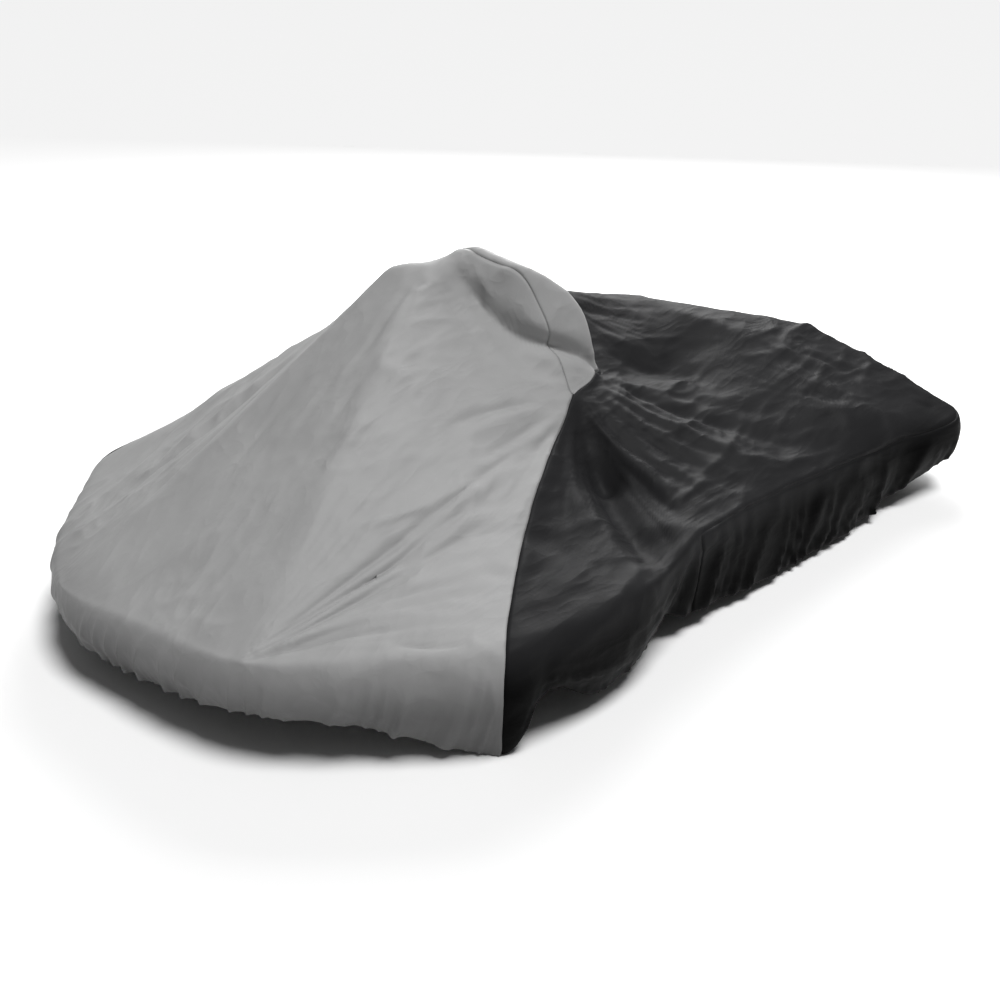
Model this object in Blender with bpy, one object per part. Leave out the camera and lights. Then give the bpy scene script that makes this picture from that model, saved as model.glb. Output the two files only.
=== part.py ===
# Fitted kart cover, draped as on its kart: two grey panels, a black rear panel and a gathered skirt.
# Metres, +Z up. The front of the kart is towards -Y and its left side towards +X.
# The origin is under the middle of the cover's box, level with its lowest hem.
import bpy
import numpy as np

SHEET = 0.002          # thickness of the cloth
SEAM_GAP = 0.00042     # how far each sewn edge draws back from its seam
MITRE_LIMIT = 0.3      # keeps sharp corners from being drawn back too far
CELL = 0.010           # spacing of the height map
ROUNDING = 7           # smoothing passes that round the tight lines
PLAN_PASSES = 200      # passes that even out the cells of a patch
RELAX = (500, 400, 300)  # settling passes on the coarse, middle and fine height map

ACROSS = 36            # columns from the left edge over the top to the right edge
FRONT_ROWS = 14        # rows from the nose to the front seam
PEAK_ROWS = 4          # rows between the two seams over the steering wheel
REAR_ROWS = 27         # rows from the rear seam to the tail
EDGE_STEPS = 40        # samples of the edge between two of its rows
WALL_ROWS = 4          # rows from the edge down to the hem
RUFFLE = 0.004         # height of the gathers at the elastic hem
RUFFLES = 40           # gathers around the hem
SKIRT_ROW = 10         # row of the side where the skirt begins
SHARP_ANGLE = 0.7      # edges of the sheet sharper than this stay sharp, in radians

# Driving dimensions of the kart under the cover, and of the cover's rim and hem
FRONT_AXLE = -0.500    # y of the front axle
REAR_AXLE = 0.540      # y of the rear axle, a wheelbase of 1.04 m behind it
NOSE = -1.000          # y of the front bumper
TAIL = 0.950           # y of the rear bumper
HALF_FRONT = 0.640     # from the middle to the outer face of a front tyre
HALF_REAR = 0.630      # from the middle to the outer face of a rear tyre
HALF_POD = 0.605       # from the middle to the outside of a side pod
TYRE_TOP = 0.290       # height of the cloth over a tyre
RIM = 0.250            # height where the top turns down
HEM = 0.085            # usual height of the hem
WHEEL_TOP = 0.720      # height of the cloth over the top of the steering wheel
PANEL_TOP = 0.690      # height of the cloth over the number panel
SEAT_TOP = 0.490       # height of the cloth over the seat back

# Where the cloth is propped from inside on both sides alike: name: (x, y, z)
PAIRED_PROPS = {
    "wheel_low": (0.195, 0.090, 0.425),
    "hip": (0.230, -0.050, 0.430),
    "rear_tyre": (HALF_REAR - 0.030, REAR_AXLE + 0.060, TYRE_TOP),
}

# Where it is propped in the middle or on one side only, or hangs lowest between props: name: (x, y, z)
SINGLE_PROPS = {
    "number_panel_right": (-0.090, -0.240, PANEL_TOP),
    "number_panel_left": (-0.020, -0.205, PANEL_TOP),
    "wheel_top": (0.000, -0.130, WHEEL_TOP),
    "wheel_left_upper": (0.110, -0.075, WHEEL_TOP - 0.030),
    "wheel_left": (0.165, 0.060, WHEEL_TOP - 0.130),
    "wheel_right_upper": (-0.100, -0.070, WHEEL_TOP - 0.080),
    "wheel_right": (-0.165, 0.055, WHEEL_TOP - 0.180),
    "wheel_back": (0.000, 0.140, WHEEL_TOP - 0.140),
    "seat_top": (0.000, REAR_AXLE - 0.100, SEAT_TOP),
    "seat_shoulder": (0.225, REAR_AXLE + 0.010, SEAT_TOP - 0.060),
    "tail_shoulder": (0.300, TAIL - 0.140, SEAT_TOP - 0.100),
    "engine_top": (-0.280, REAR_AXLE - 0.090, SEAT_TOP - 0.070),
    "tail_hip": (-0.300, TAIL - 0.150, SEAT_TOP - 0.170),
    "fender_right_high": (-0.235, -0.275, PANEL_TOP - 0.145),
    "fender_right_mid": (-0.400, -0.350, PANEL_TOP - 0.275),
    "fender_right_low": (0.090 - HALF_FRONT, FRONT_AXLE, TYRE_TOP - 0.010),
    "front_tyre_left": (HALF_FRONT - 0.210, FRONT_AXLE + 0.100, TYRE_TOP),
    "front_tyre_right": (0.170 - HALF_FRONT, FRONT_AXLE + 0.080, TYRE_TOP + 0.040),
    "hollow_left": (0.380, -0.110, RIM + 0.010),
    "hollow_right": (-0.400, -0.110, RIM + 0.020),
}

# One side of the edge, where the top turns down, from the front seam to the tail:
# name: (x, y, z of the edge, z of the hem, how far the hem is drawn in, how far the wall bellies out)
SIDE_EDGE = {
    "seam": (HALF_FRONT - 0.040, FRONT_AXLE - 0.200, RIM + 0.010, HEM - 0.040, 0.010, 0.010),
    "front_notch": (HALF_FRONT - 0.015, FRONT_AXLE - 0.110, RIM + 0.010, HEM + 0.025, 0.000, 0.008),
    "front_wheel": (HALF_FRONT, FRONT_AXLE + 0.020, RIM + 0.005, HEM - 0.015, 0.010, 0.015),
    "front_end": (HALF_FRONT + 0.005, FRONT_AXLE + 0.160, RIM, HEM + 0.010, 0.015, 0.008),
    "gap": (HALF_POD + 0.015, FRONT_AXLE + 0.275, RIM, HEM + 0.035, 0.020, 0.004),
    "skirt": (HALF_POD, FRONT_AXLE + 0.370, RIM + 0.010, HEM, 0.000, 0.006),
    "pod": (HALF_POD, REAR_AXLE - 0.390, RIM, HEM - 0.020, -0.016, 0.010),
    "rear_wheel": (HALF_REAR - 0.010, REAR_AXLE - 0.090, RIM - 0.020, HEM - 0.025, -0.016, 0.014),
    "rear_wheel_end": (HALF_REAR, REAR_AXLE + 0.100, RIM - 0.035, HEM - 0.015, -0.008, 0.014),
    "tail": (HALF_REAR + 0.010, TAIL - 0.030, RIM - 0.020, HEM + 0.025, 0.006, 0.008),
}

# Where the right side differs: its seam ends further back, and the cloth hangs lower over its front tyre
RIGHT_EDGE = {
    "front_wheel": (HALF_FRONT, FRONT_AXLE, RIM - 0.010, HEM - 0.025, 0.010, 0.015),
    "seam": (HALF_FRONT - 0.040, FRONT_AXLE - 0.155, RIM - 0.020, HEM - 0.015, 0.010, 0.010),
}

# The middle of the tail, and the nose from right to left, in the same columns
TAIL_EDGE = {"tail": (0.000, TAIL, RIM, HEM + 0.020, 0.020, 0.010)}
NOSE_EDGE = {
    "nose_bend_right": (-0.425, NOSE + 0.130, RIM - 0.045, HEM + 0.030, 0.015, 0.015),
    "nose_right": (-0.220, NOSE, RIM - 0.045, HEM + 0.025, 0.008, 0.012),
    "nose": (0.030, NOSE - 0.010, RIM - 0.025, HEM + 0.015, 0.010, 0.015),
    "nose_left": (0.280, NOSE + 0.010, RIM - 0.010, HEM + 0.045, 0.012, 0.005),
    "nose_bend_left": (0.440, NOSE + 0.130, RIM, HEM + 0.025, 0.015, 0.010),
}


def mirrored(place):
    return (-place[0], *place[1:])


def both_halves(half):
    # the left half of a line that ends on the middle, and its mirror image
    return half + [mirrored(place) for place in half[-2::-1]]


def all_props():
    # the single props, and each paired prop with its mirror image
    places = dict(SINGLE_PROPS)
    for name, place in PAIRED_PROPS.items():
        places[name + "_left"] = place
        places[name + "_right"] = mirrored(place)
    return places


def all_edge():
    # the whole edge, anticlockwise from the left end of the front seam
    rows = {name + "_left": row for name, row in SIDE_EDGE.items()}
    rows.update(TAIL_EDGE)
    for name, row in reversed(SIDE_EDGE.items()):
        if name != "front_notch":
            rows[name + "_right"] = mirrored(RIGHT_EDGE.get(name, row))
    rows.update(NOSE_EDGE)
    return rows


# Tight lines and valleys of the cloth: (from, to, sag at the middle)
LINES = [
    ("number_panel_right", "number_panel_left", 0.0),
    ("number_panel_left", "wheel_top", 0.004),
    ("wheel_top", "wheel_left_upper", -0.008),
    ("wheel_left_upper", "wheel_left", -0.012),
    ("wheel_left", "wheel_low_left", -0.010),
    ("wheel_top", "wheel_right_upper", -0.008),
    ("wheel_right_upper", "wheel_right", -0.010),
    ("wheel_right", "wheel_low_right", -0.010),
    ("wheel_top", "wheel_back", -0.010),
    ("wheel_back", "wheel_low_left", 0.020),
    ("wheel_back", "wheel_low_right", 0.020),
    ("wheel_back", "seat_top", 0.004),
    ("wheel_low_left", "hip_left", 0.0),
    ("wheel_low_right", "hip_right", 0.0),
    ("number_panel_left", "hip_left", 0.020),
    ("number_panel_right", "hip_right", 0.020),
    ("seat_top", "seat_shoulder", 0.0),
    ("seat_top", "tail_shoulder", 0.0),
    ("seat_shoulder", "tail_shoulder", 0.004),
    ("seat_top", "engine_top", 0.0),
    ("engine_top", "tail_hip", 0.0),
    ("tail_shoulder", "tail_hip", 0.010),
    ("tail_shoulder", "tail_left", 0.0),
    ("tail_hip", "tail_right", 0.0),
    ("tail_shoulder", "rear_tyre_left", 0.010),
    ("seat_shoulder", "rear_tyre_left", 0.010),
    ("wheel_low_left", "rear_tyre_left", 0.025),
    ("wheel_low_right", "rear_tyre_right", 0.025),
    ("engine_top", "rear_tyre_right", 0.010),
    ("engine_top", "wheel_low_right", 0.030),
    ("seat_shoulder", "wheel_low_left", 0.045),
    ("rear_tyre_left", "rear_wheel_end_left", 0.0),
    ("rear_tyre_left", "tail_left", 0.012),
    ("rear_tyre_right", "tail_right", 0.012),
    ("hip_left", "skirt_left", 0.030),
    ("hip_right", "skirt_right", 0.030),
    ("hip_left", "hollow_left", 0.010),
    ("hip_right", "hollow_right", 0.010),
    ("hip_left", "front_tyre_left", 0.010),
    ("hip_right", "front_tyre_right", 0.010),
    ("front_tyre_left", "front_end_left", 0.0),
    ("front_tyre_left", "seam_left", 0.0),
    ("front_tyre_right", "fender_right_low", 0.0),
    ("hip_left", "seam_left", 0.010),
    ("number_panel_left", "nose_left", 0.006),
    ("number_panel_right", "nose_right", 0.006),
    ("number_panel_right", "fender_right_high", 0.0),
    ("fender_right_high", "fender_right_mid", 0.006),
    ("fender_right_mid", "fender_right_low", 0.004),
    ("fender_right_low", "seam_right", 0.0),
]

# Main folds of the top: (start x, start y, end x, end y, rise or depth, half-width)
FOLDS = [
    (-0.005, -0.180, 0.235, 0.040, -0.018, 0.028),
    (0.235, -0.030, 0.570, 0.080, -0.010, 0.042),
    (0.235, 0.040, 0.610, 0.240, 0.010, 0.045),
    (0.250, 0.110, 0.610, 0.430, -0.009, 0.045),
    (0.240, -0.080, 0.640, -0.280, -0.030, 0.050),
    (0.230, -0.880, 0.230, -0.300, -0.008, 0.045),
    (0.300, -0.930, 0.400, -0.350, -0.010, 0.042),
    (-0.380, -0.820, -0.180, -0.320, -0.010, 0.042),
    (0.100, 0.330, 0.360, 0.350, -0.010, 0.040),
    (-0.010, -0.170, -0.240, 0.040, -0.012, 0.040),
    (-0.235, -0.020, -0.560, 0.080, -0.010, 0.042),
    (-0.235, 0.050, -0.600, 0.240, 0.008, 0.045),
    (-0.245, 0.110, -0.600, 0.420, -0.009, 0.045),
    (-0.240, -0.080, -0.640, -0.280, -0.026, 0.055),
]

# Left half of the plan of the two seams, from where they meet at the hip to the middle: (x, y)
FRONT_SEAM = [(0.230, -0.050), (0.170, -0.035), (0.110, -0.070), (0.050, -0.110), (0.000, -0.130)]
REAR_SEAM = [(0.230, -0.050), (0.200, 0.080), (0.180, 0.105), (0.110, 0.135), (0.050, 0.165), (0.000, 0.175)]

PIECE_COLOURS = {"front_panel": "grey", "peak_panel": "grey", "rear_panel": "black", "rear_skirt": "black"}
COLOURS = {"grey": (0.36, 0.36, 0.36), "black": (0.022, 0.022, 0.023)}


def edge_loop():
    """Return the closed edge as a smooth curve through the rows (periodic Catmull-Rom), and its knots."""
    rows = np.array(list(all_edge().values()))
    slope = 0.5 * (np.roll(rows, -1, axis=0) - np.roll(rows, 1, axis=0))
    t = np.linspace(0.0, 1.0, EDGE_STEPS, endpoint=False)[None, :, None]
    here = rows[:, None]
    there = np.roll(rows, -1, axis=0)[:, None]
    curve = ((2 * t**3 - 3 * t**2 + 1) * here + (t**3 - 2 * t**2 + t) * slope[:, None]
             + (3 * t**2 - 2 * t**3) * there + (t**3 - t**2) * np.roll(slope, -1, axis=0)[:, None])
    return curve.reshape(-1, rows.shape[1])


def evenly(curve, count):
    """Return count + 1 points evenly spaced in plan along a curve."""
    length = np.concatenate([[0.0], np.cumsum(np.linalg.norm(np.diff(curve[:, :2], axis=0), axis=1))])
    wanted = np.linspace(0.0, length[-1], count + 1)
    return np.stack([np.interp(wanted, length, column) for column in curve.T], axis=1)


def edge_run(loop, first, last, count):
    """Return count + 1 points of the edge between two named rows, going anticlockwise."""
    names = list(all_edge())
    start = names.index(first) * EDGE_STEPS
    stop = names.index(last) * EDGE_STEPS
    if stop <= start:
        stop += len(loop)
    return evenly(loop[np.arange(start, stop + 1) % len(loop)], count)


def height_map(loop):
    """Settle a membrane over the tight lines: each free cell is the mean of its neighbours."""
    places = {**all_props(), **{name: row[:3] for name, row in all_edge().items()}}
    tight = [loop[:, :3]]
    for first, last, sag in LINES:
        t = np.linspace(0.0, 1.0, 400)[:, None]
        line = np.array(places[first]) * (1 - t) + np.array(places[last]) * t
        line[:, 2:] -= 4 * sag * t * (1 - t)
        tight.append(line)
    tight = np.concatenate(tight)
    low = tight[:, :2].min(axis=0) - 0.06
    high = tight[:, :2].max(axis=0) + 0.06
    heights = None
    for level, passes in zip((4, 2, 1), RELAX):
        cell = CELL * level
        shape = np.ceil((high - low) / cell).astype(int) + 1
        at = np.rint((tight[:, :2] - low) / cell).astype(int)
        total = np.zeros(shape)
        count = np.zeros(shape)
        np.add.at(total, (at[:, 0], at[:, 1]), tight[:, 2])
        np.add.at(count, (at[:, 0], at[:, 1]), 1)
        fixed = count > 0
        target = total / np.maximum(count, 1)
        if heights is None:
            heights = np.full(shape, tight[:, 2].mean())
        else:
            x = np.clip(np.arange(shape[0]) // 2, 0, heights.shape[0] - 1)
            y = np.clip(np.arange(shape[1]) // 2, 0, heights.shape[1] - 1)
            heights = heights[np.ix_(x, y)]
        for _ in range(passes):
            heights = np.where(fixed, target, neighbours(heights))
    for _ in range(ROUNDING):
        heights = 0.5 * heights + 0.5 * neighbours(heights)
    x, y = (low[:, None, None] + CELL * np.indices(heights.shape))
    for x0, y0, x1, y1, rise, width in FOLDS:
        heights = heights + rise * fold(x, y, x0, y0, x1, y1, width)
    return low, heights


def fold(x, y, x0, y0, x1, y1, width):
    """Return a ridge of height one along a line: a bell across it, and a half sine along it."""
    length = np.hypot(x1 - x0, y1 - y0)
    t = ((x - x0) * (x1 - x0) + (y - y0) * (y1 - y0)) / length**2
    off = ((x - x0) * (y1 - y0) - (y - y0) * (x1 - x0)) / length
    return np.exp(-(off / width) ** 2) * np.sin(np.pi * np.clip(t, 0.0, 1.0)) ** 0.7


def neighbours(heights):
    """Return the mean of each cell's four neighbours."""
    padded = np.pad(heights, 1, mode="edge")
    return 0.25 * (padded[2:, 1:-1] + padded[:-2, 1:-1] + padded[1:-1, 2:] + padded[1:-1, :-2])


def height_at(field, xy):
    """Read the height map between its cells."""
    low, heights = field
    at = (xy - low) / CELL
    i = np.clip(np.floor(at).astype(int), 0, np.array(heights.shape) - 2)
    f = at - i
    a, b = i[..., 0], i[..., 1]
    u, v = f[..., 0], f[..., 1]
    return ((1 - u) * (1 - v) * heights[a, b] + u * (1 - v) * heights[a + 1, b]
            + (1 - u) * v * heights[a, b + 1] + u * v * heights[a + 1, b + 1])


def patch(front, back, left, right):
    """Fill four plan curves that share corners (Coons patch): rows run front to back."""
    front, back, left, right = (curve[:, :2] for curve in (front, back, left, right))
    v = np.linspace(0.0, 1.0, len(left))[:, None, None]
    u = np.linspace(0.0, 1.0, len(front))[None, :, None]
    ruled = (1 - v) * front[None] + v * back[None] + (1 - u) * left[:, None] + u * right[:, None]
    corners = ((1 - u) * (1 - v) * front[0] + u * (1 - v) * front[-1]
               + (1 - u) * v * back[0] + u * v * back[-1])
    return ruled - corners


def even_cells(plan):
    """Slide a patch's inner points until its cells are even (elliptic smoothing)."""
    for _ in range(PLAN_PASSES):
        across = 0.5 * (plan[1:-1, 2:] - plan[1:-1, :-2])
        down = 0.5 * (plan[2:, 1:-1] - plan[:-2, 1:-1])
        skew = 0.25 * (plan[2:, 2:] - plan[2:, :-2] - plan[:-2, 2:] + plan[:-2, :-2])
        a = (down**2).sum(axis=2, keepdims=True)
        b = (across * down).sum(axis=2, keepdims=True)
        c = (across**2).sum(axis=2, keepdims=True)
        sides = a * (plan[1:-1, 2:] + plan[1:-1, :-2]) + c * (plan[2:, 1:-1] + plan[:-2, 1:-1])
        plan[1:-1, 1:-1] = (sides - 2 * b * skew) / (2 * (a + c))
    return plan


def wall(edge):
    """Hang the wall under the closed edge: it bellies out, then its hem is drawn in."""
    run = np.roll(edge[:, :2], -1, axis=0) - np.roll(edge[:, :2], 1, axis=0)
    out = np.stack([run[:, 1], -run[:, 0]], axis=1)
    out /= np.linalg.norm(out, axis=1, keepdims=True)
    s = np.linspace(0.0, 1.0, WALL_ROWS + 1)[:, None]
    turn = np.linspace(0.0, 2 * np.pi, len(edge), endpoint=False)
    ruffle = RUFFLE * (np.sin(RUFFLES * turn) + 0.5 * np.sin(1.7 * RUFFLES * turn + 1.0)) * s
    push = edge[:, 5] * np.sin(np.pi * s) - edge[:, 4] * s**2 + ruffle
    xy = edge[None, :, :2] + push[..., None] * out[None]
    z = edge[:, 2] * (1 - s) + edge[:, 3] * s
    return np.concatenate([xy, z[..., None]], axis=2)


def seam_line(left_end, middle, right_end):
    """Return a seam's plan points, one for each column: a side, the stretch between the hips, a side."""
    side = ACROSS // 3
    left = evenly(np.array([left_end, middle[0]]), side)
    right = evenly(np.array([middle[-1], right_end]), side)
    return np.concatenate([left[:-1], evenly(smooth(middle), ACROSS - 2 * side), right[1:]])


def smooth(points):
    """Return a rounded curve through points (corner cutting that keeps both ends)."""
    points = np.asarray(points, float)
    for _ in range(3):
        first = 0.75 * points[:-1] + 0.25 * points[1:]
        second = 0.25 * points[:-1] + 0.75 * points[1:]
        cut = np.stack([first, second], axis=1).reshape(-1, 2)
        points = np.concatenate([points[:1], cut, points[-1:]])
    return points


def cover_grids():
    """Return each piece's grids of points, all cut from one surface."""
    loop = edge_loop()
    field = height_map(loop)
    spans = [("seam_left", "skirt_left", SKIRT_ROW), ("skirt_left", "tail_left", REAR_ROWS - SKIRT_ROW),
             ("tail_left", "tail_right", ACROSS), ("tail_right", "skirt_right", REAR_ROWS - SKIRT_ROW),
             ("skirt_right", "seam_right", SKIRT_ROW), ("seam_right", "nose_right", FRONT_ROWS),
             ("nose_right", "nose_left", ACROSS), ("nose_left", "seam_left", FRONT_ROWS)]
    edge = np.concatenate([edge_run(loop, *span)[:-1] for span in spans])
    starts = np.cumsum([0] + [span[2] for span in spans])

    def run(first, last):
        return edge[np.arange(starts[first], starts[last] + 1) % len(edge), :3]

    side = ACROSS // 3
    nose, tail = run(6, 7)[::-1], run(2, 3)
    front_left, front_right = run(7, 8), run(5, 6)[::-1]
    rear_left, rear_right = run(0, 2), run(3, 5)[::-1]
    front_seam = seam_line(edge[0, :2], both_halves(FRONT_SEAM), edge[starts[5], :2])
    rear_seam = seam_line(edge[0, :2], both_halves(REAR_SEAM), edge[starts[5], :2])
    tips = [np.repeat(front_seam[None, k], PEAK_ROWS + 1, axis=0) for k in (side, ACROSS - side)]
    front = lift(field, even_cells(patch(nose, front_seam, front_left, front_right)))
    peak = lift(field, patch(front_seam[side:-side], rear_seam[side:-side], *tips))
    rear = lift(field, even_cells(patch(rear_seam, tail, rear_left, rear_right)))
    front[0], front[:, 0], front[:, -1] = nose, front_left, front_right
    rear[-1], rear[:, 0], rear[:, -1] = tail, rear_left, rear_right
    around = wall(edge)

    def walls(first, last):
        return around[:, np.arange(starts[first], starts[last] + 1) % len(edge)]

    return {"front_panel": [front, walls(5, 8)], "peak_panel": [peak],
            "rear_panel": [rear, walls(0, 1), walls(4, 5)], "rear_skirt": [walls(1, 4)]}


def lift(field, plan):
    """Raise plan points onto the height map."""
    return np.concatenate([plan, height_at(field, plan)[..., None]], axis=2)


def weld(grids):
    """Join grids that share points: return the points, and the quads of each grid."""
    points = np.concatenate([grid.reshape(-1, 3) for grid in grids])
    _, first, index = np.unique(np.round(points, 6), axis=0, return_index=True, return_inverse=True)
    index = index.reshape(-1)
    quads = []
    start = 0
    for grid in grids:
        rows, columns = grid.shape[:2]
        ids = index[start:start + rows * columns].reshape(rows, columns)
        start += rows * columns
        corners = [ids[:-1, :-1], ids[1:, :-1], ids[1:, 1:], ids[:-1, 1:]]
        quads.append(np.stack(corners, axis=-1).reshape(-1, 4))
    return points[first], quads


def triangles_of(quads):
    """Split quads into triangles, and drop those that a shared point closes."""
    split = np.concatenate([quads[:, (0, 1, 2)], quads[:, (0, 2, 3)]])
    whole = (split[:, 0] != split[:, 1]) & (split[:, 1] != split[:, 2]) & (split[:, 2] != split[:, 0])
    return split[whole]


def point_normals(points, triangles):
    """Return each point's normal, weighted by the area of its triangles."""
    a, b, c = points[triangles].transpose(1, 0, 2)
    face = np.cross(b - a, c - a)
    normals = np.zeros_like(points)
    for corner in range(3):
        np.add.at(normals, triangles[:, corner], face)
    return normals / np.maximum(np.linalg.norm(normals, axis=1, keepdims=True), 1e-12)


def edges_of(triangles):
    """Return the directed edges of some triangles."""
    return np.concatenate([triangles[:, (0, 1)], triangles[:, (1, 2)], triangles[:, (2, 0)]])


def free_edges(triangles):
    """Return the edges that only one triangle uses."""
    edges = edges_of(triangles)
    seen = set(map(tuple, edges.tolist()))
    return np.array([edge for edge in edges.tolist() if (edge[1], edge[0]) not in seen])


def draw_back(points, normals, triangles, outline):
    """Return each point's way off the sewn edges of a piece: square to each edge, and mitred at corners."""
    open_edges = set(map(tuple, outline.tolist()))
    sewn = np.array([edge for edge in free_edges(triangles).tolist() if tuple(edge) not in open_edges])
    run = points[sewn[:, 1]] - points[sewn[:, 0]]
    total = np.zeros_like(points)
    count = np.zeros(len(points))
    for end in range(2):
        inward = np.cross(normals[sewn[:, end]], run)
        inward /= np.linalg.norm(inward, axis=1, keepdims=True)
        np.add.at(total, sewn[:, end], inward)
        np.add.at(count, sewn[:, end], 1)
    square = np.einsum("ij,ij->i", total, total)
    stretch = np.where(count > 1, 2.0 / np.maximum(square, MITRE_LIMIT), 1.0)
    return total * (SEAM_GAP * stretch)[:, None]


def sheet(points, normals, triangles, outline):
    """Give one piece's triangles their thickness, with its sewn edges drawn back from the seam."""
    outer = points + draw_back(points, normals, triangles, outline)
    inner = outer - SHEET * normals
    count = len(points)
    a, b = free_edges(triangles).T
    sides = np.concatenate([np.stack([b, a, a + count], axis=1), np.stack([b, a + count, b + count], axis=1)])
    faces = np.concatenate([triangles, triangles[:, ::-1] + count, sides])
    used, faces = np.unique(faces, return_inverse=True)
    return np.concatenate([outer, inner])[used], faces.reshape(-1, 3)


def material(name):
    """Return the coated cloth's material in one of the two colours."""
    cloth = bpy.data.materials.new(name + "_cloth")
    cloth.use_nodes = True
    shader = cloth.node_tree.nodes["Principled BSDF"]
    shader.inputs["Base Color"].default_value = (*COLOURS[name], 1.0)
    shader.inputs["Roughness"].default_value = 0.6
    shader.inputs["Metallic"].default_value = 0.0
    cloth.diffuse_color = (*COLOURS[name], 1.0)
    return cloth


def build():
    """Build the four pieces, centred over the origin with the lowest hem at zero."""
    pieces = cover_grids()
    names = [name for name, grids in pieces.items() for _ in grids]
    points, quads = weld([grid for grids in pieces.values() for grid in grids])
    parts = {piece: triangles_of(np.concatenate([quad for name, quad in zip(names, quads) if name == piece]))
             for piece in pieces}
    normals = point_normals(points, np.concatenate(list(parts.values())))
    outline = free_edges(np.concatenate(list(parts.values())))
    solids = {name: sheet(points, normals, part, outline) for name, part in parts.items()}
    everything = np.concatenate([vertices for vertices, _ in solids.values()])
    low, high = everything.min(axis=0), everything.max(axis=0)
    origin = np.array([(low[0] + high[0]) / 2, (low[1] + high[1]) / 2, low[2]])
    cloths = {name: material(name) for name in COLOURS}
    for name, (vertices, faces) in solids.items():
        mesh = bpy.data.meshes.new(name)
        mesh.from_pydata((vertices - origin).tolist(), [], faces.tolist())
        mesh.materials.append(cloths[PIECE_COLOURS[name]])
        mesh.shade_smooth()
        mesh.set_sharp_from_angle(angle=SHARP_ANGLE)
        piece = bpy.data.objects.new(name, mesh)
        bpy.context.scene.collection.objects.link(piece)


for old in list(bpy.data.objects):
    bpy.data.objects.remove(old)
build()
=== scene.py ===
import bpy
import numpy as np
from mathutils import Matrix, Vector


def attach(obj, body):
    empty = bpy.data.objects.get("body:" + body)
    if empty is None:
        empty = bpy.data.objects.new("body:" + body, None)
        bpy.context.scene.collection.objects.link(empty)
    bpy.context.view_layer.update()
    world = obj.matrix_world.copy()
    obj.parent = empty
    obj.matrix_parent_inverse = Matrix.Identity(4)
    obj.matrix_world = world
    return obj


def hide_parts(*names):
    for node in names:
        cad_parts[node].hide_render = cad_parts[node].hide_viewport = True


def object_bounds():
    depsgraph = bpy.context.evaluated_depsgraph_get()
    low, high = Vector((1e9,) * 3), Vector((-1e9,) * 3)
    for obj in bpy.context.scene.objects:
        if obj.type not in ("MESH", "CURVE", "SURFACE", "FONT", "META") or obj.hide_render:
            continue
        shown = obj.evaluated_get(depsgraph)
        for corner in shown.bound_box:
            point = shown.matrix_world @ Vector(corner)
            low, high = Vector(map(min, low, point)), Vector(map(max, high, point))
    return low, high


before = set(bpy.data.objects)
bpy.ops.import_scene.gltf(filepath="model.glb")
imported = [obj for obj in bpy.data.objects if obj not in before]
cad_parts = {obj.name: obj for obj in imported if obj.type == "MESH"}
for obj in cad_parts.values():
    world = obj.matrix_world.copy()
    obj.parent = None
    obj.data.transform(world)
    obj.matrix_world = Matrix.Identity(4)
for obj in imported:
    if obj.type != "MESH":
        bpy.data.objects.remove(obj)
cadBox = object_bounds()
print("frame loaded, box", [round(size * 1000) for size in cadBox[1] - cadBox[0]], "mm")

# How finely the one surface behind all panels is worked out
coverForm = {
    "cell": 0.005,                       # spacing of the height map
    "rounding": 16,                      # passes that round the tight lines
    "relax": (400, 400, 300, 200),       # settling passes, from the coarse height map to the fine one
    "planPasses": 200,                   # passes that even out the cells of a panel
    "across": 36, "frontRows": 14, "peakRows": 4, "rearRows": 27, "wallRows": 4,    # coarse cells
    "edgeSteps": 40, "skirtRow": 10,
    "finer": {"across": 7, "front": 10, "peak": 12, "rear": 6, "wall": 5},    # fine cells in each coarse one
    "middleShare": 0.42,                 # share of the columns between the hips
    "dense": [((0.10, -0.05), 0.20, 1.8), ((0.40, 0.00), 0.25, 0.4)],    # finer cells: place, reach, how much
    "lipRadius": 0.006, "lipRows": 4,    # the rolled hem around its elastic
    "sheet": 0.0012,                     # thickness of the cloth as drawn
    "seamBow": -0.045,                   # how far the left half of a seam bows, as a share of its length
    "seamDepth": 0.0012,                 # how far a seam sinks into the cloth
    "floorGap": 0.0005,                  # the hem stays this far above the floor
    "evened": {"above": 0.27, "over": 0.05, "strength": 0.5, "passes": 3},    # evens out slanting folds
    "seeds": {"folds": 21, "fans": 5, "crumples": 11},
}

# Driving dimensions of the kart under the cover, and of the cover's rim and hem, as its solids have them
kart = {
    "frontAxle": -0.500, "rearAxle": 0.540,                     # y, with a wheelbase of 1.04 m between them
    "nose": -1.000, "tail": 0.950,                              # y of the bumpers
    "halfFront": 0.640, "halfRear": 0.630, "halfPod": 0.605,    # from the middle to the tyres and side pod
    "tyreTop": 0.290, "wheelTop": 0.720, "panelTop": 0.690, "seatTop": 0.490,    # heights of the cloth
    "rim": 0.250, "hem": 0.085,                                 # where the top turns down, and where it ends
}
frontAxle, rearAxle, nose, tail = kart["frontAxle"], kart["rearAxle"], kart["nose"], kart["tail"]
halfFront, halfRear, halfPod = kart["halfFront"], kart["halfRear"], kart["halfPod"]
tyreTop, wheelTop, panelTop, seatTop = kart["tyreTop"], kart["wheelTop"], kart["panelTop"], kart["seatTop"]
rim, hem = kart["rim"], kart["hem"]

# Where the cloth is propped from inside on both sides alike: name: (x, y, z)
pairedProps = {
    "wheelLow": (0.195, 0.090, 0.425),
    "hip": (0.230, -0.050, 0.430),
    "rearTyre": (halfRear - 0.030, rearAxle + 0.060, tyreTop),
}

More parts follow.
